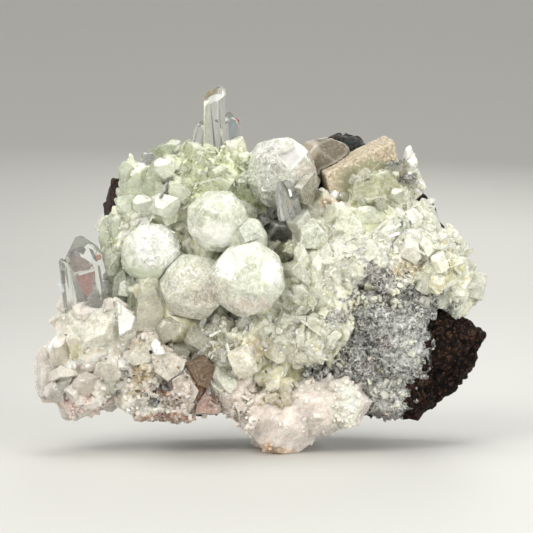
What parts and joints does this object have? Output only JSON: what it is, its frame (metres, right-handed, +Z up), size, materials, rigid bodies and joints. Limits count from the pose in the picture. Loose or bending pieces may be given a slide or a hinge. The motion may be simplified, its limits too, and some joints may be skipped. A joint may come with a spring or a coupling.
{
  "type": "analcime with prehnite",
  "caption": "Mineral specimen: rounded white analcime crystals and clear quartz points on pale green bladed prehnite, over brown basalt, resting on a narrow fibrous foot.",
  "frame": {"origin": "on the ground, at the middle of the specimen's bounding box", "axes": "+X to the right in the picture, across the width of the specimen; +Y away from the viewer, into the rock; +Z up. The crystals face -Y."},
  "size_m": [0.092, 0.0446, 0.0741],
  "materials": {
    "analcime_trio": "translucent, satin crystal faces",
    "analcime_top": "translucent, satin crystal faces",
    "analcime_left": "frosted, sugary",
    "quartz_left_pair": "clear and glassy, reddish brown inside",
    "quartz_top_cluster": "clear and glassy",
    "quartz_centre": "clear and glassy",
    "quartz_upper_left": "clear and glassy",
    "calcite_rhomb": "matt, sugary and speckled",
    "calcite_knob": "matt, rounded",
    "pink_crystal_cluster": "translucent, flaky crystal faces",
    "fibrous_foot": "silky, finely fibrous",
    "speckled_lumps": "rough and sugary, rusty specks",
    "quartz_druse": "sparkling, salt and pepper",
    "prehnite_crust": "translucent, bladed",
    "basalt_matrix": "rough, matt, broken"
  },
  "bodies": {
    "root": {"analcime_trio": "analcime_trio", "analcime_top": "analcime_top", "analcime_left": "analcime_left", "quartz_left_pair": "quartz_left_pair", "quartz_top_cluster": "quartz_top_cluster", "quartz_centre": "quartz_centre", "quartz_upper_left": "quartz_upper_left", "calcite_rhomb": "calcite_rhomb", "calcite_knob": "calcite_knob", "pink_crystal_cluster": "pink_crystal_cluster", "fibrous_foot": "fibrous_foot", "speckled_lumps": "speckled_lumps", "quartz_druse": "quartz_druse", "prehnite_crust": "prehnite_crust", "basalt_matrix": "basalt_matrix"}
  },
  "joints": []
}
